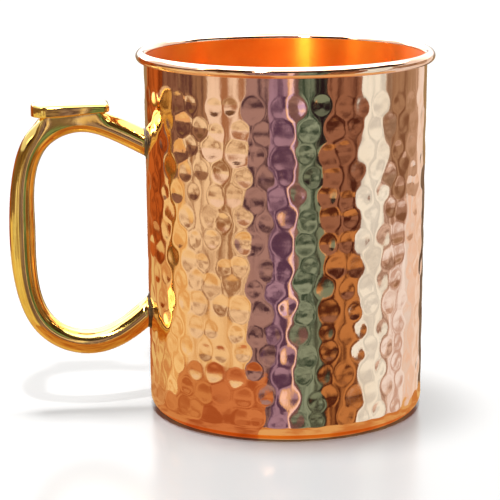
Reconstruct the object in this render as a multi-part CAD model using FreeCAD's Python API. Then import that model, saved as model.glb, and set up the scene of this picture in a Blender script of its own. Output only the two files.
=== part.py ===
import FreeCAD, Part

import math
import os

# Hammered copper mug with a cast brass handle. Sizes are in millimetres.
#
# The cup is spun from one copper disc: a flat base, a rounded bottom corner, a wall that opens slightly upwards and an
# edge that is curled outwards over a wire. A cast brass bar stands off the wall as the handle. A tongue-shaped brass
# thumb rest is brazed to a flat on the handle's crown, and a fillet of filler metal goes round each of its feet.
#
# The origin is on the mug's axis at the underside of the base, +Z is up, and the handle points along -X.

Vec = FreeCAD.Vector
UP = Vec(0, 0, 1)
SIDEWAYS = Vec(0, 1, 0)

# Cup
mug_height = 102.0
rim_outer_diameter = 83.0
sheet_thickness = 0.8
wall_flare = 0.7  # how much further out the wall stands under the rim than above the bottom corner
bottom_corner_radius = 4.2  # outside
wire_diameter = 1.4
wire_clearance = 0.05
curl_end_angle = -110.0  # where round the wire the curled edge stops, just short of the wall

# Handle bar: how far each station of its centreline is out from the wall and below the rim, and the bar's diameter
# there, from the upper foot over the crown and down the back to the lower foot.
handle_stations = {
    "upper foot": (0.0, 25.3, 6.7),
    "upper knee": (7.2, 21.7, 6.5),
    "crown": (17.3, 18.7, 6.5),
    "shoulder": (29.3, 23.4, 6.8),
    "upper back": (33.4, 32.5, 6.4),
    "middle of back": (34.5, 48.4, 7.2),
    "lower back": (33.7, 63.9, 6.6),
    "heel": (27.8, 77.4, 6.4),
    "belly": (16.3, 81.8, 6.8),
    "lower knee": (6.2, 78.5, 6.8),
    "lower foot": (0.0, 73.7, 6.8),
}
ring_spacing = 3.0  # between the sections that the bar's skin is drawn through
foot_run_in = 5.0  # how far each foot is carried on into the cup before it is cut to fit the wall

# Thumb rest
rest_inner_end = 9.9  # its square end's distance out from the wall
rest_length = 21.4
rest_seat_depth = 0.93  # how deep the flat that it sits on is ground into the bar's crown
rest_inner_width = 10.4
rest_outer_width = 12.0
rest_tip_depth = 4.2  # how far its outer end bulges
rest_inner_thickness = 2.2
rest_outer_thickness = 3.6
rest_corner_radius = 1.6
rest_edge_radius = 0.9

# Saddle: the web between the bar's crown and the thumb rest
saddle_end_insets = (0.2, 1.6)  # from the thumb rest's ends: at its top face, and where the web has run into the bar
saddle_side_insets = (1.5, 3.4)  # the same from its sides
saddle_sink = 1.0  # the lower level, below the bar's centre at its crown

# Brazed joints
braze_gap = 0.2  # filler between a foot and the wall
braze_fillet = 0.9  # concave, round the foot

# Worked out from the sizes above
bead_diameter = wire_diameter + 2 * sheet_thickness
rim_radius = rim_outer_diameter / 2
wall_outer_top = rim_radius - bead_diameter + sheet_thickness
wall_outer_bottom = wall_outer_top - wall_flare
wire_height = mug_height - bead_diameter / 2
wire_ring_radius = rim_radius - bead_diameter / 2
lean = math.atan2(wall_flare, wire_height - bottom_corner_radius)
rest_near = -(wall_outer_top + rest_inner_end)
rest_tip = rest_near - rest_length
rest_slope = (rest_outer_thickness - rest_inner_thickness) / rest_length
crown_out, crown_drop, crown_diameter = handle_stations["crown"]
crown_height = mug_height - crown_drop
rest_thickness_at_crown = rest_inner_thickness + rest_slope * (crown_out - rest_inner_end)
rest_top = crown_height + crown_diameter / 2 - rest_seat_depth + rest_thickness_at_crown


def on_circle(centre, radius, degrees):
    angle = math.radians(degrees)
    return centre + Vec(radius * math.cos(angle), 0, radius * math.sin(angle))


def arc(centre, radius, start, end):
    """An arc in the XZ plane, between two angles in degrees."""
    middle = (start + end) / 2
    return Part.Arc(*(on_circle(centre, radius, angle) for angle in (start, middle, end))).toShape()


def line(start, end):
    return Part.LineSegment(start, end).toShape()


def turned(profile):
    """The solid that a closed profile sweeps round the mug's axis."""
    return Part.Face(Part.Wire(profile)).revolve(Vec(0, 0, 0), UP, 360)


def wall_profile(inset):
    """One skin of the base, corner and wall, from the axis up to the wall's tangent point: the outer skin at an inset
    of 0, the inner one at an inset of the sheet's thickness. It returns the edges and the last point."""
    centre = Vec(wall_outer_bottom - bottom_corner_radius, 0, bottom_corner_radius)
    radius = bottom_corner_radius - inset
    foot = on_circle(centre, radius, -90)
    head = on_circle(centre, radius, -math.degrees(lean))
    return [line(Vec(0, 0, inset), foot), arc(centre, radius, -90, -math.degrees(lean))], head


def cup_body():
    """Base, wall and curled edge, all in one thickness of sheet."""
    outer, outer_head = wall_profile(0)
    inner, inner_head = wall_profile(sheet_thickness)
    wire_centre = Vec(wire_ring_radius, 0, wire_height)
    hole = wire_diameter / 2
    bead = bead_diameter / 2
    curl = [
        line(outer_head, on_circle(wire_centre, hole, 180)),
        arc(wire_centre, hole, 180, curl_end_angle),
        line(on_circle(wire_centre, hole, curl_end_angle), on_circle(wire_centre, bead, curl_end_angle)),
        arc(wire_centre, bead, curl_end_angle, 180),
        line(on_circle(wire_centre, bead, 180), inner_head),
    ]
    return turned(outer + curl + inner[::-1] + [line(Vec(0, 0, sheet_thickness), Vec(0, 0, 0))])


def cup_filled(margin):
    """The cup's outer skin filled to a solid and grown by a margin, which fits the handle's feet to the wall."""
    outer, outer_head = wall_profile(-margin)
    top = Vec(wall_outer_top + margin, 0, wire_height)
    axis_top = Vec(0, 0, wire_height)
    return turned(outer + [line(outer_head, top), line(top, axis_top), line(axis_top, Vec(0, 0, -margin))])


def rim_wire():
    """The wire that the edge is curled over."""
    return Part.makeTorus(wire_ring_radius, wire_diameter / 2 - wire_clearance, Vec(0, 0, wire_height), UP)


def station(name):
    """A station's centre and the bar's diameter there."""
    out, drop, diameter = handle_stations[name]
    return Vec(-(wall_outer_top + out), 0, mug_height - drop), diameter


def handle_bar_round():
    """The bar by itself, drawn through round sections square to its centreline, with both feet run into the cup."""
    centres, diameters = zip(*(station(name) for name in handle_stations))
    spine = Part.BSplineCurve()
    spine.interpolate(Points=list(centres))
    places = [spine.parameter(centre) for centre in centres]
    taper = Part.BSplineCurve()
    taper.interpolate(Points=[Vec(size, place, 0) for size, place in zip(diameters, places)], Parameters=places)
    count = round(spine.length() / ring_spacing)
    rings = []
    for step in range(count + 1):
        along = spine.parameterAtDistance(spine.length() * step / count, spine.FirstParameter)
        rings.append(ring(spine.value(along), spine.tangent(along)[0], taper.value(along).x))
    for place, along, outwards in ((0, spine.FirstParameter, -1), (len(rings) + 1, spine.LastParameter, 1)):
        tangent = spine.tangent(along)[0]
        centre = spine.value(along) + tangent * outwards * foot_run_in
        rings.insert(place, ring(centre, tangent, taper.value(along).x))
    return Part.makeLoft(rings, True, False)


def ring(centre, tangent, diameter):
    return Part.Wire(Part.makeCircle(diameter / 2, centre, tangent))


def rest_outline(end_inset, side_inset, height):
    """The thumb rest seen from above: square towards the cup, opening outwards, with a bulging outer end."""
    near = rest_near - end_inset
    tip = rest_tip + end_inset
    shoulder = tip + rest_tip_depth
    near_half = rest_inner_width / 2 - side_inset
    far_half = rest_outer_width / 2 - side_inset
    corners = [
        Vec(near, near_half, height),
        Vec(shoulder, far_half, height),
        Vec(shoulder, -far_half, height),
        Vec(near, -near_half, height),
    ]
    end = Part.Arc(corners[1], Vec(tip, 0, height), corners[2]).toShape()
    return Part.Wire([line(corners[0], corners[1]), end, line(corners[2], corners[3]), line(corners[3], corners[0])])


def above_rest_underside():
    """A block that lies on the thumb rest's sloping underside and reaches well past it."""
    fall = rest_slope * rest_length
    inner = Vec(rest_near + rest_length, -rest_length, rest_top - rest_inner_thickness + fall)
    outer = Vec(rest_tip - rest_length, -rest_length, rest_top - rest_outer_thickness - fall)
    rise = Vec(0, 0, 2 * rest_length)
    side = Part.makePolygon([inner, outer, outer + rise, inner + rise, inner])
    return Part.Face(side).extrude(SIDEWAYS * 2 * rest_length)


def thumb_rest():
    """A tongue of brass, thicker at its outer end, with rounded corners and its top edge rounded over."""
    depth = 2 * rest_outer_thickness
    plate = Part.Face(rest_outline(0, 0, rest_top - depth)).extrude(UP * depth)
    upright = [edge for edge in plate.Edges if abs(edge.tangentAt(edge.FirstParameter).z) > 0.99]
    plate = plate.makeFillet(rest_corner_radius, upright)
    upper = [edge for edge in plate.Edges if abs(edge.BoundBox.ZMin - rest_top) < 1e-4]
    return plate.makeFillet(rest_edge_radius, upper).common(above_rest_underside())


def saddle():
    """The web that flares out of the bar's crown to carry the thumb rest."""
    levels = (rest_top, crown_height - saddle_sink)
    head, buried = map(rest_outline, saddle_end_insets, saddle_side_insets, levels)
    return Part.makeLoft([buried, head], True, True)


def handle_casting():
    """Bar and saddle in one, ground flat under the thumb rest, with feet that still run into the cup."""
    return handle_bar_round().fuse(saddle()).cut(above_rest_underside())


def braze(casting, side):
    """The filler metal of one foot: a film between foot and wall, and a concave fillet round them."""
    cup = cup_filled(0)
    joined = cup.fuse(casting)
    centre, diameter = station(side + " foot")
    seam = [edge for edge in joined.Edges if distance(edge, centre) < diameter and on_both(edge, cup, casting)]
    fillet_and_film = joined.makeFillet(braze_fillet, seam).cut(cup).cut(casting.cut(cup_filled(braze_gap)))
    return min(fillet_and_film.Solids, key=lambda solid: distance(solid, centre))


def distance(shape, point):
    return (shape.CenterOfMass - point).Length


def on_both(edge, first, second):
    """Whether an edge's middle lies on two solids."""
    middle = Part.Vertex(edge.valueAt((edge.FirstParameter + edge.LastParameter) / 2))
    return max(middle.distToShape(first)[0], middle.distToShape(second)[0]) < 1e-3


def main():
    casting = handle_casting()
    nodes = {
        "cup_body": cup_body(),
        "rim_wire": rim_wire(),
        "handle_bar": casting.cut(cup_filled(braze_gap)),
        "thumb_rest": thumb_rest(),
        "upper_braze": braze(casting, "upper"),
        "lower_braze": braze(casting, "lower"),
    }
    os.makedirs("parts", exist_ok=True)
    for name, shape in nodes.items():
        shape.exportStep("parts/" + name + ".step")
        box = shape.optimalBoundingBox()
        print(f"{name}: {len(shape.Solids)} solid, valid {shape.isValid()}, {shape.Volume:.0f} mm3, "
              f"X {box.XMin:.1f} to {box.XMax:.1f}, Z {box.ZMin:.1f} to {box.ZMax:.1f}")


main()
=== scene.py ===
import math

import bmesh
import bpy
import numpy as np
from bpy.props import FloatProperty, FloatVectorProperty, IntProperty, PointerProperty
from mathutils import Matrix, Vector


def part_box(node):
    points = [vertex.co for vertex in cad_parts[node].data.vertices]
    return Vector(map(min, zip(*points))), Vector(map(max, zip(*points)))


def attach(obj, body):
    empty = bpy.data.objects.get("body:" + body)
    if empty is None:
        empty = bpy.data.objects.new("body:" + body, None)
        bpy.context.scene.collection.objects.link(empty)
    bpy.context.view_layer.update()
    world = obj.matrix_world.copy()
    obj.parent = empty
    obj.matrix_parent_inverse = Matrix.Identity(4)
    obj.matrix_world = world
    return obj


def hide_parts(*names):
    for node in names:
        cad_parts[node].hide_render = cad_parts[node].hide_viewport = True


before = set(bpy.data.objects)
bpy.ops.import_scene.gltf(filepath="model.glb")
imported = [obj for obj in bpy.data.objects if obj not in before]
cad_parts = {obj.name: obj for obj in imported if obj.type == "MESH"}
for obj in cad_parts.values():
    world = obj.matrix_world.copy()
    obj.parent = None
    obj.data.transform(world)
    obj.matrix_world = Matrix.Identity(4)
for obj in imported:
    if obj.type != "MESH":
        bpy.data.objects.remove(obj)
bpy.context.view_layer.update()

# Hammered copper mug with a cast brass handle, on a table under soft studio light.
#
# The cup is spun from copper sheet, planished all over the outside with a ball-faced hammer, and curled over
# a wire at the rim. The handle is a polished brass casting with a thumb rest on its crown, brazed to the wall
# at both feet. Lengths are in metres. The frame's nodes give the overall sizes, and the settings below give
# the rest.

bl_info = {
    "name": "Hammered Copper Mug",
    "version": (1, 0, 0),
    "blender": (4, 5, 0),
    "location": "3D View > Sidebar > Copper Mug",
    "description": "Models and finishes a hammered copper mug with a cast brass handle",
    "category": "Add Mesh",
}

MM = 0.001
CUP_LOW, CUP_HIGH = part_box("cup_body")
BAR_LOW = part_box("handle_bar")[0]
REST_LOW, REST_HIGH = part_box("thumb_rest")

CUP_COLUMNS, CUP_ROWS = 440, 165  # faces round the wall and up it, each about 0.6 mm wide and high
FOOT_SINK = 0.4 * MM  # how far the handle's feet and their filler reach under the cup's outer skin
WELD = 1e-7  # points nearer than this are one point
SLIVER = 1e-8  # an edge shorter than this is no edge
LEVEL = 1e-6  # points whose heights or places differ by less than this are in line

# The Mix node has a set of sockets for each kind of value. These are the numbers of its colour ones.
MIX_FIRST, MIX_SECOND, MIX_RESULT = 6, 7, 2


# Settings

def linear(hex_colour):
    """An sRGB hex colour as linear red, green and blue."""
    channels = [int(hex_colour[place:place + 2], 16) / 255 for place in (1, 3, 5)]
    return tuple(c / 12.92 if c <= 0.04045 else ((c + 0.055) / 1.055) ** 2.4 for c in channels)


def length(name, description, default):
    return FloatProperty(name=name, description=description, default=default, unit="LENGTH", min=0)


def how_many(name, description, default, fewest):
    return IntProperty(name=name, description=description, default=default, min=fewest)


def angle(name, description, degrees):
    return FloatProperty(name=name, description=description, default=math.radians(degrees), subtype="ANGLE")


def colour(name, description, hex_colour):
    return FloatVectorProperty(
        name=name, description=description, default=linear(hex_colour), subtype="COLOR", min=0, max=1)


class MugCupSettings(bpy.types.PropertyGroup):
    height: length("Height", "Table to the top of the rim", CUP_HIGH.z)
    rim_radius: length("Rim radius", "Axis to the outside of the curled rim",
                       min(CUP_HIGH.x, CUP_HIGH.y, -CUP_LOW.x, -CUP_LOW.y))
    sheet: length("Sheet", "Thickness of the copper", 0.8 * MM)
    bead: length("Rim bead", "Diameter of the edge curled over its wire", 3 * MM)
    flare: length("Flare", "How much wider the wall is under the rim than at the bottom corner", 0.7 * MM)
    corner: length("Bottom corner", "Outside radius between base and wall", 4.2 * MM)
    blows_around: how_many("Hammer blows around", "Hammer marks in one ring", 40, 3)
    blow_rows: how_many("Rings of blows", "Rings of hammer marks up the wall", 15, 2)
    blow_radius: length("Hammer face", "Radius of the ball that each hammer mark is a print of", 20 * MM)
    blow_depth: length("Blow depth", "How deep the middle of a hammer mark lies", 0.22 * MM)
    band: length("Smooth band", "Plain wall between the rim bead and the first hammer marks", 4.7 * MM)
    copper: colour("Copper", "Polished copper, freshly buffed", "#F7CEB5")
    warm_copper: colour("Worn copper", "Copper where handling has warmed its colour", "#F0C3A6")
    # The lining's two tones are far more orange than copper's own colour: painted reflection, standing in for
    # the light that the inside of the cup bounces round and round itself.
    lining: colour("Lining", "Copper inside the cup, warmed by its own reflections", "#F4902C")
    deep_lining: colour("Deep lining", "The lining's deeper patches", "#E8701C")


class MugHandleSettings(bpy.types.PropertyGroup):
    ring_spacing: length("Section spacing", "Distance between the bar's sections", 0.8 * MM)
    sides: how_many("Bar sides", "Points round each section", 48, 8)
    rest_width: length("Thumb rest width", "Across its end by the rim", 10.4 * MM)
    rest_thin: length("Thumb rest thickness", "At its end by the rim", 2.2 * MM)
    rest_bulge: length("Thumb rest tip", "How far the arc of its tip stands out", 4.2 * MM)
    rest_corner: length("Thumb rest corners", "Radius of its four corners, seen from above", 1.6 * MM)
    rest_edge: length("Thumb rest edge", "Radius of its upper edge", 0.9 * MM)
    braze_fillet: length("Braze fillet", "Radius of the filler metal round each foot", 0.65 * MM)
    brass: colour("Brass", "Polished cast brass", "#F6D880")
    dark_brass: colour("Aged brass", "Brass where polish has not reached", "#DDB55C")
    filler: colour("Braze", "Dull filler metal, darkened by the torch", "#4C4A4E")


class MugStageSettings(bpy.types.PropertyGroup):
    floor: colour("Floor", "Grey table top, which the lamps bring near to white", "#5C5C5C")
    lens: FloatProperty(name="Lens", description="Focal length", default=145.76, unit="CAMERA", min=1)
    camera_distance: length("Camera distance", "From the mug's axis, level", 0.5595)
    camera_height: length("Camera height", "Above the table", 0.1697)
    camera_turn: angle("Camera turn", "Round the mug, from straight in front of the handle's side", -8)
    camera_tilt: angle("Camera tilt", "Down from level", 12.576)
    camera_aim: angle("Camera aim", "Turned aside from the mug's axis", -1.026)
    camera_roll: angle("Camera roll", "About its own axis", -0.269)


def settings(context):
    """The cup's, the handle's and the stage's settings."""
    scene = context.scene
    return scene.mug_cup, scene.mug_handle, scene.mug_stage


# What every piece uses

def add_node(tree, kind, inputs=None, **values):
    """Adds a node with its settings. An input, by name or number, is a value or another node's output."""
    node = tree.nodes.new(kind)
    for name, value in values.items():
        setattr(node, name, value)
    for socket, value in (inputs or {}).items():
        if isinstance(value, bpy.types.NodeSocket):
            tree.links.new(value, node.inputs[socket])
        else:
            node.inputs[socket].default_value = value
    return node


def new_material(name):
    material = bpy.data.materials.new(name)
    material.use_nodes = True
    material.node_tree.nodes.clear()
    return material, material.node_tree


def finish_piece(name, bm, materials, replaces):
    """Turns a bmesh into a finished piece that rides on the frame and stands for its CAD nodes."""
    mesh = bpy.data.meshes.new(name)
    bm.to_mesh(mesh)
    bm.free()
    mesh.shade_smooth()
    for material in materials:
        mesh.materials.append(material)
    piece = bpy.data.objects.new(name, mesh)
    bpy.context.collection.objects.link(piece)
    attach(piece, "root")
    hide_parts(*replaces)


def new_vertex(made):
    """The vertex among what an operator made last."""
    return next(item for item in made if isinstance(item, bmesh.types.BMVert))


def close_shell(bm):
    """Welds what a spin leaves double and turns every face outwards."""
    bmesh.ops.remove_doubles(bm, verts=bm.verts, dist=WELD)
    bmesh.ops.dissolve_degenerate(bm, edges=bm.edges, dist=SLIVER)
    bmesh.ops.recalc_face_normals(bm, faces=bm.faces)


def grow_ring(bm, ring, edges):
    """Extrudes a ring of edges. It returns the new ring's points, in the old one's order, and its edges."""
    grown = bmesh.ops.extrude_edge_only(bm, edges=edges)["geom"]
    fresh = {item for item in grown if isinstance(item, bmesh.types.BMVert)}
    new_edges = [item for item in grown
                 if isinstance(item, bmesh.types.BMEdge) and fresh.issuperset(item.verts)]
    new_ring = [next(e.other_vert(old) for e in old.link_edges if e.other_vert(old) in fresh) for old in ring]
    return new_ring, new_edges


# The cup. Its section is drawn in the XZ plane: a point is carried along straight runs and round bends.

def run(bm, tip, x, z, steps=1):
    """Draws a straight run from the last point to a new one, in equal steps."""
    start, end = tip.co.copy(), Vector((x, 0, z))
    for step in range(steps):
        tip = bmesh.ops.extrude_vert_indiv(bm, verts=[tip])["verts"][0]
        tip.co = start.lerp(end, (step + 1) / steps)
    return tip


def bend(bm, tip, x, z, turn, steps):
    """Carries the last point round a centre, through an angle in degrees that grows from +X towards +Z."""
    swung = bmesh.ops.spin(bm, geom=[tip], cent=(x, 0, z), axis=(0, -1, 0), angle=math.radians(turn),
                           steps=steps, use_duplicate=False)
    return new_vertex(swung["geom_last"])


class CupSizes:
    """The cup's sizes that follow from its settings."""

    def __init__(self, cup):
        self.top_radius = cup.rim_radius - cup.bead + cup.sheet
        self.bottom_radius = self.top_radius - cup.flare
        self.wire_x = cup.rim_radius - cup.bead / 2
        self.wire_z = cup.height - cup.bead / 2
        self.corner = cup.corner
        self.half_sheet = cup.sheet / 2
        self.lean = math.atan2(cup.flare, self.wire_z - cup.corner)

    def skin(self, z):
        """The outer skin's radius at a height."""
        share = (z - self.corner) / (self.wire_z - self.corner)
        return self.bottom_radius + (self.top_radius - self.bottom_radius) * share

    def mid_wall(self, z):
        """The radius half-way through the wall at a height, which parts the outer skin from the lining."""
        return self.skin(max(z, self.corner)) - self.half_sheet


def cup_section(bm, cup, sizes):
    """Half the cup's section, in one line: underside, wall, curl round the wire, lining and inside floor."""
    base_steps, corner_steps, hole_steps, curl_steps, lining_steps, floor_steps = 3, 6, 10, 24, 6, 2
    lean = math.degrees(sizes.lean)
    corner_x = sizes.bottom_radius - cup.corner
    inner_corner = cup.corner - cup.sheet
    bead, hole = cup.bead / 2, cup.bead / 2 - cup.sheet
    curl = 290  # degrees that the sheet goes round its wire
    edge = math.radians(180 - curl)
    tip = bmesh.ops.create_vert(bm, co=(0, 0, 0))["vert"][0]
    tip = run(bm, tip, corner_x, 0, base_steps)
    tip = bend(bm, tip, corner_x, cup.corner, 90 - lean, corner_steps)
    tip = run(bm, tip, sizes.wire_x - hole, sizes.wire_z, CUP_ROWS)
    tip = bend(bm, tip, sizes.wire_x, sizes.wire_z, -curl, hole_steps)
    tip = run(bm, tip, sizes.wire_x + bead * math.cos(edge), sizes.wire_z + bead * math.sin(edge))
    tip = bend(bm, tip, sizes.wire_x, sizes.wire_z, curl, curl_steps)
    tip = run(bm, tip, corner_x + inner_corner * math.cos(sizes.lean),
              cup.corner - inner_corner * math.sin(sizes.lean), lining_steps)
    tip = bend(bm, tip, corner_x, cup.corner, lean - 90, corner_steps)
    run(bm, tip, 0, cup.sheet, floor_steps)


def hammer_marks(cup, sizes, seed=5):
    """The hammer's blows, ring by ring from the top: place round the wall, height, depth and ball radius.

    It also returns the way round the wall. No two blows are quite alike, but the top ring is nearly level.
    """
    top_clearance, low_clearance = 3.4 * MM, 2.2 * MM  # of the first and last rings' middles
    stray_aside, stray_up, top_ring_stray_up = 0.85 * MM, 0.8 * MM, 0.35 * MM
    weakest, strongest = 0.75, 1.25
    smallest, largest = 0.75, 1.35
    chance = np.random.RandomState(seed)
    around = 2 * math.pi * sizes.top_radius
    pitch = around / cup.blows_around
    stagger = 0.21 * pitch
    top = sizes.wire_z - cup.bead / 2 - cup.band - top_clearance
    low = cup.corner + low_clearance
    step = (top - low) / (cup.blow_rows - 1)
    marks = []
    for row in range(cup.blow_rows):
        offset = stagger if row % 2 else -stagger
        for blow in range(cup.blows_around):
            place = blow * pitch + offset + chance.normal(0, stray_aside)
            height = top - row * step + chance.normal(0, stray_up if row else top_ring_stray_up)
            depth = cup.blow_depth * chance.uniform(weakest, strongest)
            marks.append((place, height, depth, cup.blow_radius * chance.uniform(smallest, largest)))
    return marks, around


def planish(bm, cup, sizes):
    """Sinks the hammer's marks into the wall. Each is a shallow print of a ball, and narrow ridges part them.

    The depths are joined by a smooth maximum, the logarithm of a sum of powers, so that a ridge is rounded.
    The bare wall is one more print, of no depth, and taking log 2 off puts a lone mark's edge back on it.
    """
    marks, around = hammer_marks(cup, sizes)
    sharpness = 16 / MM
    reach = 7 * MM  # beyond this a mark is long over
    foot, full_depth = 0.3 * cup.corner, 1.5 * cup.corner  # the marks deepen between these heights
    top = sizes.wire_z - cup.bead / 2 - 0.5 * cup.band
    wall = [v for v in bm.verts if foot < v.co.z < top and v.co.xy.length > sizes.mid_wall(v.co.z)]
    places = np.array([v.co for v in wall])
    along = np.arctan2(places[:, 1], places[:, 0]) * sizes.top_radius
    total = np.ones(len(wall))
    for place, height, depth, ball in marks:
        rise = places[:, 2] - height
        near = np.nonzero(np.abs(rise) < reach)[0]
        aside = (along[near] - place + around / 2) % around - around / 2
        square = aside ** 2 + rise[near] ** 2
        close = square < reach ** 2
        total[near[close]] += np.exp(sharpness * (depth - square[close] / (2 * ball)))
    sunk = np.maximum((np.log(total) - math.log(2)) / sharpness, 0)
    fade = np.clip((places[:, 2] - foot) / (full_depth - foot), 0, 1)
    for vertex, depth in zip(wall, sunk * fade):
        outward = Vector((vertex.co.x, vertex.co.y, 0)).normalized()
        vertex.co -= outward * depth


class MUG_OT_cup(bpy.types.Operator):
    """Spin the cup from its section, hammer its wall and give it its copper"""
    bl_idname = "mug.cup"
    bl_label = "Cup"

    def execute(self, context):
        cup = settings(context)[0]
        sizes = CupSizes(cup)
        bm = bmesh.new()
        cup_section(bm, cup, sizes)
        bmesh.ops.spin(bm, geom=bm.verts[:] + bm.edges[:], cent=(0, 0, 0), axis=(0, 0, 1),
                       angle=2 * math.pi, steps=CUP_COLUMNS, use_merge=True)
        close_shell(bm)
        planish(bm, cup, sizes)
        outside, inside = 0, 1
        for face in bm.faces:
            centre = face.calc_center_median()
            within = centre.xy.length < sizes.mid_wall(centre.z)
            in_cup = within and sizes.half_sheet < centre.z < sizes.wire_z
            face.material_index = inside if in_cup else outside
        coppers = [hammered_copper(cup), spun_copper(cup)]
        finish_piece("copper_cup", bm, coppers, ["cup_body"])
        return {"FINISHED"}


class MUG_OT_rim_wire(bpy.types.Operator):
    """Give the wire inside the curled rim its drawn copper"""
    bl_idname = "mug.rim_wire"
    bl_label = "Rim wire"

    def execute(self, context):
        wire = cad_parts["rim_wire"]
        wire.data.materials.clear()
        wire.data.materials.append(drawn_copper(settings(context)[0]))
        return {"FINISHED"}


# The handle. Its centreline's stations, in millimetres: how far out from the wall, how far below the top of
# the rim, and the bar's diameter there.
HANDLE_STATIONS = {
    "upper foot": (0.0, 25.3, 6.7),
    "upper knee": (7.2, 21.7, 6.5),
    "crown": (17.3, 18.7, 6.5),
    "shoulder": (29.3, 23.4, 6.8),
    "upper back": (33.4, 32.5, 6.4),
    "middle of back": (34.5, 48.4, 7.2),
    "lower back": (33.7, 63.9, 6.6),
    "heel": (27.8, 77.4, 6.4),
    "belly": (16.3, 81.8, 6.8),
    "lower knee": (6.2, 78.5, 6.8),
    "lower foot": (0.0, 73.7, 6.8),
}


def smooth_curve(points, knots):
    """The natural cubic through points at knots. It returns a function that gives place and direction."""
    count, gaps = len(points), np.diff(knots)
    system, pull = np.eye(count), np.zeros_like(points)
    for i in range(1, count - 1):
        system[i, i - 1:i + 2] = gaps[i - 1], 2 * (gaps[i - 1] + gaps[i]), gaps[i]
        pull[i] = 6 * ((points[i + 1] - points[i]) / gaps[i] - (points[i] - points[i - 1]) / gaps[i - 1])
    bends = np.linalg.solve(system, pull)

    def at(place):
        i = int(np.clip(np.searchsorted(knots, place) - 1, 0, count - 2))
        gap, after, before = gaps[i], place - knots[i], knots[i + 1] - place
        start, end = points[i] / gap - bends[i] * gap / 6, points[i + 1] / gap - bends[i + 1] * gap / 6
        value = (bends[i] * before ** 3 + bends[i + 1] * after ** 3) / (6 * gap)
        value += start * before + end * after
        slope = (bends[i + 1] * after ** 2 - bends[i] * before ** 2) / (2 * gap) + end - start
        return value, slope
    return at


def bar_sections(cup, sizes, spacing):
    """Matrices that carry a unit circle to each section of the bar, from the upper foot to the lower one."""
    stations = np.array(list(HANDLE_STATIONS.values())) * MM
    out, below, diameter = stations.T
    points = np.column_stack([-(sizes.top_radius + out), cup.height - below, diameter / 2])
    steps = np.hypot(*np.diff(points[:, :2], axis=0).T)
    knots = np.concatenate([[0], np.cumsum(steps)])
    curve = smooth_curve(points, knots)
    count = round(knots[-1] / spacing)
    sections = []
    for step in range(count + 1):
        (x, z, radius), (dx, dz, _) = curve(knots[-1] * step / count)
        tangent = Vector((dx, 0, dz)).normalized()
        across = Vector((0, 1, 0))
        place = Matrix((across, tangent.cross(across), tangent)).transposed().to_4x4()
        place.translation = (x, 0, z)
        sections.append((place, radius))
    return sections


def slide_to_wall(point, direction, sizes, height):
    """Slides a point along a direction until it stands a height off the cup's outer skin."""
    rounds = 4  # each one leaves only a small part of the miss
    for _ in range(rounds):
        radial = Vector((point.x, point.y, 0))
        miss = sizes.skin(point.z) + height - radial.length
        point = point + direction * (miss / direction.dot(radial.normalized()))
    return point


class RestSizes:
    """The thumb rest's sizes that follow from its settings and its box. Its tip points away from the rim."""

    def __init__(self, handle):
        self.near, self.tip = REST_HIGH.x, REST_LOW.x
        self.thin, self.thick = handle.rest_thin, REST_HIGH.z - REST_LOW.z

    def share(self, x):
        """How far out a place lies: 0 at the end by the rim, 1 at the tip."""
        return (self.near - x) / (self.near - self.tip)

    def depth(self, x):
        """The thumb rest's thickness, which grows towards its tip."""
        return self.thin + (self.thick - self.thin) * self.share(x)


def smoothstep(low, high, value):
    share = min(max((value - low) / (high - low), 0), 1)
    return share * share * (3 - 2 * share)


def flare_to_rest(bm, layers, rest):
    """Draws the bar's upper side up and out to the thumb rest's underside, in one concave sweep."""
    crown_depth = 16 * MM  # a section that lies further than this below the thumb rest isn't under it
    tip_fade, near_fade = 4.5 * MM, 3.2 * MM
    turned_away, turned_up = -0.25, 0.72  # a point that faces up less than the first stays where it is
    near_half, tip_half, widening = 3.7 * MM, 4.5 * MM, 1.25
    overlap = 0.2 * MM
    for vertex in bm.verts:
        centre_z, radius, facing = (vertex[layer] for layer in layers)
        if centre_z < REST_LOW.z - crown_depth:
            continue
        x = vertex.co.x
        lift = smoothstep(rest.tip, rest.tip + tip_fade, x) * smoothstep(rest.near, rest.near - near_fade, x)
        lift *= smoothstep(turned_away, turned_up, facing)
        if lift > 0:
            half = near_half + (tip_half - near_half) * rest.share(x)
            aside = max(min(vertex.co.y / radius * widening, 1), -1)
            target = Vector((x, aside * half, REST_HIGH.z - rest.depth(x) + overlap))
            vertex.co = vertex.co.lerp(target, lift)


class MUG_OT_handle(bpy.types.Operator):
    """Draw the handle's bar, flare it up to the thumb rest and fit both its feet to the wall"""
    bl_idname = "mug.handle"
    bl_label = "Handle"

    def execute(self, context):
        cup, handle, _ = settings(context)
        sizes = CupSizes(cup)
        sections = bar_sections(cup, sizes, handle.ring_spacing)
        bm = bmesh.new()
        layers = [bm.verts.layers.float.new(name) for name in ("centre_z", "radius", "facing")]
        ring = bmesh.ops.create_circle(bm, segments=handle.sides, radius=1, cap_ends=False)["verts"]
        edges = bm.edges[:]
        shape = [vertex.co.copy() for vertex in ring]
        for number, (place, radius) in enumerate(sections):
            if number:
                ring, edges = grow_ring(bm, ring, edges)
            turn = place.to_3x3()
            for vertex, spot in zip(ring, shape):
                vertex.co = place @ (spot * radius)
                for layer, value in zip(layers, (place.translation.z, radius, (turn @ spot).z)):
                    vertex[layer] = value
                if number in (0, len(sections) - 1):
                    vertex.co = slide_to_wall(vertex.co, turn.col[2], sizes, -FOOT_SINK)
                vertex.co.x = max(vertex.co.x, BAR_LOW.x)
        bmesh.ops.holes_fill(bm, edges=bm.edges, sides=0)
        bmesh.ops.recalc_face_normals(bm, faces=bm.faces)
        flare_to_rest(bm, layers, RestSizes(handle))
        finish_piece("brass_handle", bm, [cast_brass(handle, "handle")], ["handle_bar"])
        return {"FINISHED"}


def round_edges(bm, edges, radius, segments):
    bmesh.ops.bevel(bm, geom=edges, offset=radius, offset_type="OFFSET", segments=segments, profile=0.5,
                    affect="EDGES", material=-1)


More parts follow.
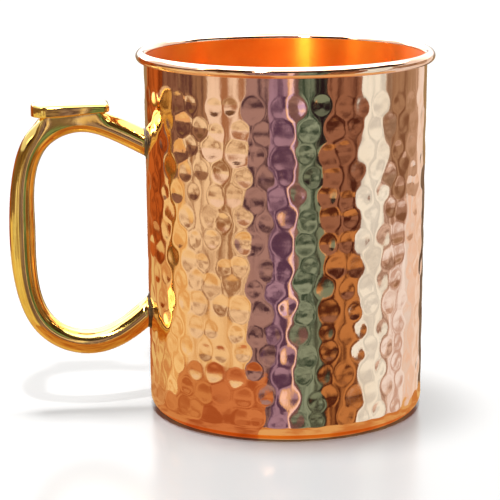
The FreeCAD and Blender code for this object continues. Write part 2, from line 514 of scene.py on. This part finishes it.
class MUG_OT_thumb_rest(bpy.types.Operator):
    """Cut the thumb rest's tongue, slope its underside and round its edges"""
    bl_idname = "mug.thumb_rest"
    bl_label = "Thumb rest"

    def execute(self, context):
        handle = settings(context)[1]
        rest = RestSizes(handle)
        bm = bmesh.new()
        self.outline(bm, handle, rest)
        drawn = bmesh.ops.extrude_face_region(bm, geom=bm.faces[:])["geom"]
        for item in drawn:
            if isinstance(item, bmesh.types.BMVert):
                item.co.z -= rest.depth(item.co.x)
        bmesh.ops.recalc_face_normals(bm, faces=bm.faces)
        self.soften(bm, handle)
        finish_piece("brass_thumb_rest", bm, [cast_brass(handle, "thumb rest")], ["thumb_rest"])
        return {"FINISHED"}

    def outline(self, bm, handle, rest):
        """The top face: an arc over the tip, and straight sides to the end by the rim."""
        near_half, tip_half, bulge, tip_steps = handle.rest_width / 2, REST_HIGH.y, handle.rest_bulge, 14
        radius = (bulge ** 2 + tip_half ** 2) / (2 * bulge)
        first = bmesh.ops.create_vert(bm, co=(rest.tip + bulge, tip_half, REST_HIGH.z))["vert"][0]
        arc = bmesh.ops.spin(bm, geom=[first], cent=(rest.tip + radius, 0, 0), axis=(0, 0, 1),
                             angle=2 * math.asin(tip_half / radius), steps=tip_steps, use_duplicate=False)
        last = new_vertex(arc["geom_last"])
        for side in (-near_half, near_half):
            last = bmesh.ops.extrude_vert_indiv(bm, verts=[last])["verts"][0]
            last.co = Vector((rest.near, side, REST_HIGH.z))
        bmesh.ops.contextual_create(bm, geom=[last, first])
        bmesh.ops.holes_fill(bm, edges=bm.edges, sides=0)

    def soften(self, bm, handle):
        """Rounds the four corners, the upper edge and the lower one, and keeps the two flats flat."""
        lower_edge, flat_margin = 0.3 * MM, 0.25 * MM
        sharp, flat, steep = 0.5, 0.9, 0.5  # the first in radians, the others as the upright part of a normal
        large = 50 * MM * MM
        upright = [e for e in bm.edges if (e.verts[0].co - e.verts[1].co).xy.length < LEVEL
                   and e.calc_face_angle(0) > sharp]
        round_edges(bm, upright, handle.rest_corner, segments=5)
        upper = [e for e in bm.edges if all(v.co.z > REST_HIGH.z - LEVEL for v in e.verts)]
        round_edges(bm, upper, handle.rest_edge, segments=4)
        lower = [e for e in bm.edges if len(e.link_faces) == 2
                 and any(f.normal.z < -flat for f in e.link_faces)
                 and any(abs(f.normal.z) < steep for f in e.link_faces)]
        round_edges(bm, lower, lower_edge, segments=2)
        flats = [f for f in bm.faces if abs(f.normal.z) > flat and f.calc_area() > large]
        bmesh.ops.inset_region(bm, faces=flats, thickness=flat_margin, use_even_offset=True)
        bmesh.ops.recalc_face_normals(bm, faces=bm.faces)


class MUG_OT_brazes(bpy.types.Operator):
    """Lay a concave fillet of filler metal round each of the handle's feet"""
    bl_idname = "mug.brazes"
    bl_label = "Brazed joints"

    def execute(self, context):
        cup, handle, _ = settings(context)
        sizes = CupSizes(cup)
        sections = bar_sections(cup, sizes, handle.ring_spacing)
        filler = brazing_metal(handle)
        for name, (place, radius) in (("upper_braze", sections[0]), ("lower_braze", sections[-1])):
            self.fillet(name, place, radius, sizes, handle, filler)
        return {"FINISHED"}

    def fillet(self, name, place, radius, sizes, handle, filler):
        """A closed ring. Each row of its section is a height off the wall and a distance out from the bar."""
        size, steps = handle.braze_fillet, 6
        hidden_edge, into_bar = 0.9 * size, 0.5 * MM
        along = place.to_3x3().col[2]
        turns = [math.pi / 2 * step / steps for step in range(steps + 1)]
        rows = [(size * (1 - math.sin(turn)), size * (1 - math.cos(turn))) for turn in turns]
        rows += [(-FOOT_SINK, hidden_edge), (-FOOT_SINK, -into_bar), (size, -into_bar)]
        bm = bmesh.new()
        ring = bmesh.ops.create_circle(bm, segments=handle.sides, radius=1, cap_ends=False)["verts"]
        shape = [vertex.co.copy() for vertex in ring]
        first = edges = bm.edges[:]
        for number, (height, growth) in enumerate(rows):
            if number:
                ring, edges = grow_ring(bm, ring, edges)
            for vertex, spot in zip(ring, shape):
                vertex.co = slide_to_wall(place @ (spot * (radius + growth)), along, sizes, height)
        bmesh.ops.bridge_loops(bm, edges=first + edges)
        bmesh.ops.recalc_face_normals(bm, faces=bm.faces)
        finish_piece(name + "_fillet", bm, [filler], [name])


# Finishes

def metal(name, bright, dull, dull_share, patch, grain, grain_depth, roughness, spread, anisotropic=0.0):
    """A metal surface: two tones in soft patches, roughness that wanders with them, and a fine uneven skin.

    patch and grain are the sizes of the patches and of the unevenness. The marks of polishing are too fine to
    show, so the unevenness is as coarse as it needs to be to show. An anisotropic metal was worked in rings
    round the Z axis.
    """
    material, tree = new_material(name)
    place = add_node(tree, "ShaderNodeTexCoord").outputs["Object"]
    patches = add_node(tree, "ShaderNodeTexNoise",
                       {"Vector": place, "Scale": 1 / patch, "Detail": 4.0, "Roughness": 0.55}).outputs["Fac"]
    share = add_node(tree, "ShaderNodeMapRange", {
        "Value": patches, "From Min": 0.35, "From Max": 0.7, "To Min": 0.0, "To Max": dull_share})
    tone = add_node(tree, "ShaderNodeMix", {
        "Factor": share.outputs["Result"], MIX_FIRST: (*bright, 1), MIX_SECOND: (*dull, 1)}, data_type="RGBA")
    gloss = add_node(tree, "ShaderNodeMapRange", {
        "Value": patches, "From Min": 0.3, "From Max": 0.75,
        "To Min": roughness, "To Max": roughness + spread})
    fine = add_node(tree, "ShaderNodeTexNoise",
                    {"Vector": place, "Scale": 1 / grain, "Detail": 3.0, "Roughness": 0.5})
    bump = add_node(tree, "ShaderNodeBump",
                    {"Height": fine.outputs["Fac"], "Distance": grain_depth, "Strength": 1.0})
    surface = {"Base Color": tone.outputs[MIX_RESULT], "Metallic": 1.0, "Roughness": gloss.outputs["Result"],
               "Normal": bump.outputs["Normal"]}
    if anisotropic:
        rings = add_node(tree, "ShaderNodeTangent", direction_type="RADIAL", axis="Z")
        surface |= {"Tangent": rings.outputs["Tangent"],
                    "Anisotropic": anisotropic, "Anisotropic Rotation": 0.25}
    shader = add_node(tree, "ShaderNodeBsdfPrincipled", surface)
    add_node(tree, "ShaderNodeOutputMaterial", {"Surface": shader.outputs["BSDF"]})
    return material


def hammered_copper(cup):
    # Copper sheet, planished and buffed: a near mirror, so every hammer mark holds its own small picture.
    return metal("copper, hammered and buffed", cup.copper, cup.warm_copper, dull_share=0.8, patch=18 * MM,
                 grain=2.6 * MM, grain_depth=0.016 * MM, roughness=0.05, spread=0.05)


def spun_copper(cup):
    # Copper sheet, spun and polished round and round: light from above smears into upright streaks.
    # Its two tones are deepened to orange: painted reflection of the light that the cup bounces round inside
    # itself.
    return metal("copper, spun and polished", cup.lining, cup.deep_lining, dull_share=0.8, patch=12 * MM,
                 grain=1.6 * MM, grain_depth=0.003 * MM, roughness=0.34, spread=0.06, anisotropic=0.9)


def drawn_copper(cup):
    # Copper wire, drawn through a die: an even, slightly dull tone, little of which the curl lets out.
    return metal("copper, drawn", cup.warm_copper, cup.copper, dull_share=0.5, patch=6 * MM,
                 grain=0.8 * MM, grain_depth=0.002 * MM, roughness=0.3, spread=0.1)


def cast_brass(handle, piece):
    # Brass, cast and polished: long soft stripes of light, with a faint waviness that the casting left.
    return metal("brass, cast and polished, " + piece, handle.brass, handle.dark_brass, dull_share=0.7,
                 patch=9 * MM, grain=3.5 * MM, grain_depth=0.02 * MM, roughness=0.07, spread=0.06)


def brazing_metal(handle):
    # Brass filler, brazed and left as it cooled: dark grey with hints of brass, dull and slightly lumpy.
    return metal("brazing filler, cooled", handle.filler, handle.dark_brass, dull_share=0.25, patch=1.5 * MM,
                 grain=0.7 * MM, grain_depth=0.03 * MM, roughness=0.38, spread=0.15)


# Stage. Bearings are in degrees to the right of the camera's side of the mug, and lengths in millimetres.

# Cards and drapes that stand round the mug and give the polished metal something to mirror. Each has the
# bearings of its edges, the heights of its foot and top above the table, its tint, shade and brightness. What
# lies below the table stands for what the table top mirrors.
CARD_DISTANCE, CARD_FOLDS, CARD_STEPS = 400, 38, 12
CARDS = {
    "left table, far": (-86, -30, -60, 14, "#FCF2CC", "#9C744C", 0.97),
    "left table, near": (-86, -30, -260, -60, "#FBEDB8", "#E0B870", 1.0),
    "left softbox": (-62, -30, 14, 60, "#FCF4E2", "#AC805C", 1.0),
    "left back wall": (-92, -62, 14, 90, "#C09C78", "#74504A", 0.7),
    "left upper wall": (-92, -30, 60, 150, "#7A5A48", "#B09060", 0.7),
    "dark drape": (-30, -12, -260, 150, "#BEA4A4", "#543E4C", 0.8),
    "dark drape edge": (-12, 2, -260, 150, "#B8A2C4", "#60486A", 0.85),
    "slit": (3, 6.5, -260, 150, "#FFE9DC", "#D2C2F4", 1.1),
    "drape": (6.5, 10, -260, 150, "#B89C94", "#84686A", 0.8),
    "green drape": (10, 22, -260, 150, "#A0C2B0", "#3C5446", 0.85),
    "dark gap": (22, 32, 6, 150, "#2C2228", "#7C9484", 0.7),
    "green gap": (22, 31, -260, 6, "#8FAE98", "#3A4038", 0.8),
    "brown drape": (32, 61, -30, 150, "#AE8268", "#542C20", 0.8),
    "orange drape": (31, 61, -260, -30, "#DCA060", "#5C3020", 0.8),
    "dark room, left": (-62, -22, 150, 480, "#6A5038", "#3A2818", 0.5),
    "dark room, right": (-15, 54, 150, 480, "#6A5038", "#3A2818", 0.5),
    "hair light": (-22, -15, 230, 480, "#FFF4E0", "#FFEBD0", 42.0),
    "hair light, middle": (-10, 6, 340, 480, "#FFE4B8", "#E8B070", 4.5),
    "hair light, left": (-68, -62, 200, 480, "#FFF0D0", "#E8C088", 7.0),
    "dark room, far right": (54, 104, 200, 480, "#6A5038", "#3A2818", 0.5),
    "left skylight": (-178, -128, 150, 500, "#FFFFFF", "#FFF8F0", 3.8),
    "right softbox": (61, 84, -260, 200, "#E2FAFC", "#C4D8DC", 1.3),
    "right shade": (84, 91, 0, 200, "#C8B8A4", "#94806C", 0.95),
    "right softbox, edge": (84, 91, -260, 0, "#E0D8D0", "#84644E", 1.05),
    "right return, upper": (91, 113, -12, 150, "#BCA285", "#8C6A50", 0.85),
    "right return, middle": (91, 113, -34, -12, "#E8D8CC", "#A88C78", 0.95),
    "right return, lower": (91, 113, -260, -34, "#E8F6FF", "#C0B0A8", 1.2),
    "right wall, upper": (113, 131, -10, 150, "#B89E80", "#D8C0A8", 0.85),
    "right wall, lower": (113, 131, -260, -10, "#EEF8FC", "#F4E4D4", 1.0),
    "right rim strip": (131, 148, -260, 150, "#F4F0E8", "#E8D0B8", 1.05),
    "right edge": (148, 180, -260, 0, "#9A8268", "#6E5844", 0.8),
    "left edge": (-180, -146, -260, 0, "#E08A4C", "#B4602C", 0.8),
    "left rim, upper": (-146, -112, -40, 150, "#E47C34", "#94481C", 0.75),
    "left rim, lower": (-146, -112, -260, -40, "#F2DA90", "#D8A060", 0.95),
    "left return, upper": (-112, -92, 0, 150, "#A8826A", "#7A5444", 0.75),
    "left return, lower": (-112, -86, -260, 0, "#F8E8A8", "#E4BC74", 1.05),
}

# The table close to the mug, as the metal sees it: glowing bands that paint its reflection, warm with the
# copper's own light and darkened by the mug's shadow. Each has its bearings, how far out from the axis it
# goes, its tint and its shade. It starts under the cup and lies just below the table top.
TABLE_GLOW_START, TABLE_GLOW_HEIGHT = 34, -0.1
TABLE_GLOW_FOLDS, TABLE_GLOW_STEPS, TABLE_GLOW_STRENGTH = 14, 48, 0.85
TABLE_GLOWS = {
    "near table, left": (-180, -80, 60, "#F0C080", "#D08C4C"),
    "table, front left": (-80, -50, 96, "#E8A866", "#C47840"),
    "table, front": (-50, -12, 102, "#E49A60", "#BC6A38"),
    "near table, right": (-12, 180, 50, "#F8D088", "#E09A54"),
}

# Discs overhead: radius, height and brightness. The small one keeps the inside from glaring, seen from above.
CEILING_TINT, CEILING_SHADE, CEILING_FOLDS, CEILING_STEPS = "#FFFFFF", "#FFFDFA", 100, 48
CEILINGS = {
    "ceiling softbox": (750, 600, 4.5),
    "ceiling, dimmed middle": (150, 595, 1.1),
}

# Lamps: the place that each shines from towards the mug, its width in degrees and its power.
LAMPS = {
    "front key": ((-50, -550, 1030), 3, 7.8),
    "top key, left": ((-100, 40, 1000), 12, 11.5),
    "top key, right": ((90, 40, 1000), 11, 4.0),
}

TABLE_REACH = 3000  # from the middle to each side
SENSOR_WIDTH, NEAREST_SEEN = 36, 10  # the camera's


def glow(name, tint, shade, strength, folds):
    """A lit face: its tint falls off into its shade in soft upright folds, as far apart as folds says."""
    material, tree = new_material(name)
    place = add_node(tree, "ShaderNodeTexCoord").outputs["Object"]
    drawn_out = add_node(tree, "ShaderNodeMapping", {"Vector": place, "Scale": (1, 1, 0.55)})
    noise = add_node(tree, "ShaderNodeTexNoise", {
        "Vector": drawn_out.outputs["Vector"], "Scale": 1 / (folds * MM), "Detail": 3.0, "Roughness": 0.6})
    share = add_node(tree, "ShaderNodeMapRange", {
        "Value": noise.outputs["Fac"], "From Min": 0.42, "From Max": 0.62}, interpolation_type="SMOOTHSTEP")
    tone = add_node(tree, "ShaderNodeMix", {
        "Factor": share.outputs["Result"], MIX_FIRST: (*linear(tint), 1), MIX_SECOND: (*linear(shade), 1)},
        data_type="RGBA")
    shader = add_node(tree, "ShaderNodeEmission", {"Color": tone.outputs[MIX_RESULT], "Strength": strength})
    add_node(tree, "ShaderNodeOutputMaterial", {"Surface": shader.outputs["Emission"]})
    return material


def only_in_reflections(thing):
    thing.visible_camera = thing.visible_diffuse = thing.visible_transmission = False
    thing.visible_shadow = thing.visible_volume_scatter = False


class MUG_OT_stage(bpy.types.Operator):
    """Lay the table, hang the cards, light the scene and place the camera"""
    bl_idname = "mug.stage"
    bl_label = "Stage"

    def execute(self, context):
        stage = settings(context)[2]
        self.table(context, stage)
        for name, (start, end, low, high, tint, shade, strength) in CARDS.items():
            face = glow(name, tint, shade, strength, CARD_FOLDS)
            foot, top = (CARD_DISTANCE, low), (CARD_DISTANCE, high)
            self.band(context, stage, name, start, end, foot, top, CARD_STEPS, face)
        for name, (radius, height, strength) in CEILINGS.items():
            self.ceiling(context, name, radius * MM, height * MM, strength)
        for name, (start, end, reach, tint, shade) in TABLE_GLOWS.items():
            face = glow(name, tint, shade, TABLE_GLOW_STRENGTH, TABLE_GLOW_FOLDS)
            inner, outer = (TABLE_GLOW_START, TABLE_GLOW_HEIGHT), (reach, TABLE_GLOW_HEIGHT)
            self.band(context, stage, name, start, end, inner, outer, TABLE_GLOW_STEPS, face)
        self.sky(context, stage)
        for name, (place, width, power) in LAMPS.items():
            self.lamp(context, name, Vector(place) * MM, width, power)
        self.camera(context, stage)
        context.scene.view_settings.view_transform = "Standard"
        return {"FINISHED"}

    def keep(self, context, name, bm, material):
        """Turns a bmesh into a thing of the stage."""
        mesh = bpy.data.meshes.new(name)
        bm.to_mesh(mesh)
        bm.free()
        mesh.materials.append(material)
        thing = bpy.data.objects.new(name.replace(" ", "_"), mesh)
        context.collection.objects.link(thing)
        return thing

    def table(self, context, stage):
        # Laminate, satin: a plain grey that the lamps bring near to white, with a faint image of the mug.
        material, tree = new_material("laminate, satin")
        shader = add_node(tree, "ShaderNodeBsdfPrincipled", {
            "Base Color": (*stage.floor, 1), "Roughness": 0.24, "Specular IOR Level": 0.25})
        add_node(tree, "ShaderNodeOutputMaterial", {"Surface": shader.outputs["BSDF"]})
        bm = bmesh.new()
        bmesh.ops.create_grid(bm, x_segments=1, y_segments=1, size=TABLE_REACH * MM)
        thing = self.keep(context, "table", bm, material)
        thing.visible_glossy = False

    def band(self, context, stage, name, start, end, first, second, steps, face):
        """Sweeps a line round the mug between bearings. Its ends are each a distance out and a height."""
        camera_side = math.radians(-90) + stage.camera_turn
        bm = bmesh.new()
        one = bmesh.ops.create_vert(bm, co=Vector((first[0], 0, first[1])) * MM)["vert"][0]
        other = bmesh.ops.extrude_vert_indiv(bm, verts=[one])["verts"][0]
        other.co = Vector((second[0], 0, second[1])) * MM
        bmesh.ops.rotate(bm, verts=bm.verts, cent=(0, 0, 0),
                         matrix=Matrix.Rotation(camera_side + math.radians(start), 3, "Z"))
        bmesh.ops.spin(bm, geom=bm.verts[:] + bm.edges[:], cent=(0, 0, 0), axis=(0, 0, 1),
                       angle=math.radians(end - start), steps=steps, use_duplicate=False)
        only_in_reflections(self.keep(context, name, bm, face))

    def ceiling(self, context, name, radius, height, strength):
        bm = bmesh.new()
        bmesh.ops.create_circle(bm, cap_ends=True, segments=CEILING_STEPS, radius=radius)
        bmesh.ops.translate(bm, verts=bm.verts, vec=(0, 0, height))
        face = glow(name, CEILING_TINT, CEILING_SHADE, strength, CEILING_FOLDS)
        only_in_reflections(self.keep(context, name, bm, face))

    def sky(self, context, stage):
        """The room: white above the horizon, warm below it, and behind the mug dim low down, bright above."""
        room, warm_floor = "#FFFDFA", "#EDC58B"
        world = bpy.data.worlds.new("studio")
        world.use_nodes = True
        tree = world.node_tree
        tree.nodes.clear()
        direction = add_node(tree, "ShaderNodeTexCoord").outputs["Generated"]
        away = Matrix.Rotation(stage.camera_turn, 3, "Z") @ Vector((0, 1, 0))
        facing = add_node(tree, "ShaderNodeVectorMath", {0: direction, 1: away}, operation="DOT_PRODUCT")
        height = add_node(tree, "ShaderNodeSeparateXYZ", {"Vector": direction}).outputs["Z"]
        behind = add_node(tree, "ShaderNodeMapRange", {
            "Value": facing.outputs["Value"], "From Min": 0.5, "From Max": 0.85},
            interpolation_type="SMOOTHSTEP")
        backdrop = add_node(tree, "ShaderNodeMapRange", {
            "Value": height, "From Min": 0.02, "From Max": 0.16, "To Min": 0.45, "To Max": 1.9},
            interpolation_type="SMOOTHSTEP")
        strength = add_node(tree, "ShaderNodeMix", {
            "Factor": behind.outputs["Result"], "A": 1.0, "B": backdrop.outputs["Result"]}, data_type="FLOAT")
        above = add_node(tree, "ShaderNodeMapRange", {
            "Value": height, "From Min": -0.06, "From Max": 0.0}, interpolation_type="SMOOTHSTEP")
        tint = add_node(tree, "ShaderNodeMix", {
            "Factor": above.outputs["Result"], MIX_FIRST: (*linear(warm_floor), 1),
            MIX_SECOND: (*linear(room), 1)}, data_type="RGBA")
        shader = add_node(tree, "ShaderNodeBackground", {
            "Color": tint.outputs[MIX_RESULT], "Strength": strength.outputs["Result"]})
        add_node(tree, "ShaderNodeOutputWorld", {"Surface": shader.outputs["Background"]})
        context.scene.world = world

    def lamp(self, context, name, place, width, power):
        """A far soft lamp that draws shadows on the table. The metal sees the cards instead."""
        data = bpy.data.lights.new(name, "SUN")
        data.angle, data.energy = math.radians(width), power
        lamp = bpy.data.objects.new(name, data)
        lamp.location = place
        lamp.visible_glossy = False
        lamp.rotation_euler = (-place).to_track_quat("-Z", "Y").to_euler()
        context.collection.objects.link(lamp)

    def camera(self, context, stage):
        data = bpy.data.cameras.new("camera")
        data.lens, data.sensor_width, data.clip_start = stage.lens, SENSOR_WIDTH, NEAREST_SEEN * MM
        camera = bpy.data.objects.new("camera", data)
        camera.matrix_world = (
            Matrix.Rotation(stage.camera_turn, 4, "Z")
            @ Matrix.Translation((0, -stage.camera_distance, stage.camera_height))
            @ Matrix.Rotation(-stage.camera_aim, 4, "Z")
            @ Matrix.Rotation(math.pi / 2 - stage.camera_tilt, 4, "X")
            @ Matrix.Rotation(stage.camera_roll, 4, "Z"))
        context.collection.objects.link(camera)
        context.scene.camera = camera


class MUG_PT_sidebar(bpy.types.Panel):
    """Lists the mug's pieces, to be made one by one, and their settings"""
    bl_idname = "MUG_PT_sidebar"
    bl_label = "Copper Mug"
    bl_space_type = "VIEW_3D"
    bl_region_type = "UI"
    bl_category = "Copper Mug"

    def draw(self, context):
        for operator in OPERATORS:
            self.layout.operator(operator.bl_idname)
        for group in settings(context):
            box = self.layout.box()
            for name in group.bl_rna.properties.keys():
                if name not in ("rna_type", "name"):
                    box.prop(group, name)


OPERATORS = (MUG_OT_cup, MUG_OT_rim_wire, MUG_OT_handle, MUG_OT_thumb_rest, MUG_OT_brazes, MUG_OT_stage)
GROUPS = {"mug_cup": MugCupSettings, "mug_handle": MugHandleSettings, "mug_stage": MugStageSettings}


def register():
    for kind in (*GROUPS.values(), *OPERATORS, MUG_PT_sidebar):
        bpy.utils.register_class(kind)
    for name, group in GROUPS.items():
        setattr(bpy.types.Scene, name, PointerProperty(type=group))


def unregister():
    for name in GROUPS:
        delattr(bpy.types.Scene, name)
    for kind in reversed((*GROUPS.values(), *OPERATORS, MUG_PT_sidebar)):
        bpy.utils.unregister_class(kind)


def main():
    register()
    bpy.ops.mug.cup()
    bpy.ops.mug.rim_wire()
    bpy.ops.mug.handle()
    bpy.ops.mug.thumb_rest()
    bpy.ops.mug.brazes()
    bpy.ops.mug.stage()


if __name__ == "__main__":
    main()
